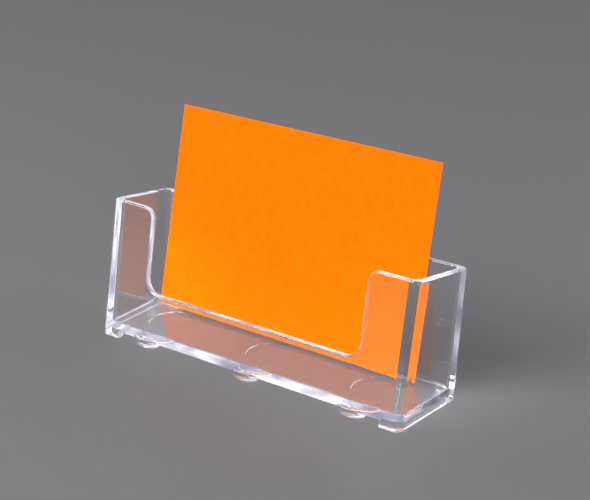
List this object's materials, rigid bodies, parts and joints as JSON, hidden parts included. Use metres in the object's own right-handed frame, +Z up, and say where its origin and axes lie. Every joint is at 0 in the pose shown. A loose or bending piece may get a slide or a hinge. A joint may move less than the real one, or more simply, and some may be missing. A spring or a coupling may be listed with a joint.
{
  "type": "business card holder",
  "caption": "Clear one-piece desktop holder for business cards, with a wide window in its front wall and a plain card leaning in it.",
  "frame": {"origin": "middle of the whole part's box, on the surface that it stands on", "axes": "+Z up, +X along the width, -Y out of the open front"},
  "size_m": [0.1006, 0.0336, 0.0568],
  "materials": {
    "clear_plastic": "polished clear polystyrene",
    "card_paper": "matt orange card"
  },
  "bodies": {
    "holder": {"card_holder": "clear_plastic"},
    "card": {"card": "card_paper"}
  },
  "joints": [
    {"name": "card_lift", "type": "slide", "parent": "holder", "child": "card", "axis": [0, 0.2538, 0.9673], "range_m": [0, 0.028]}
  ]
}
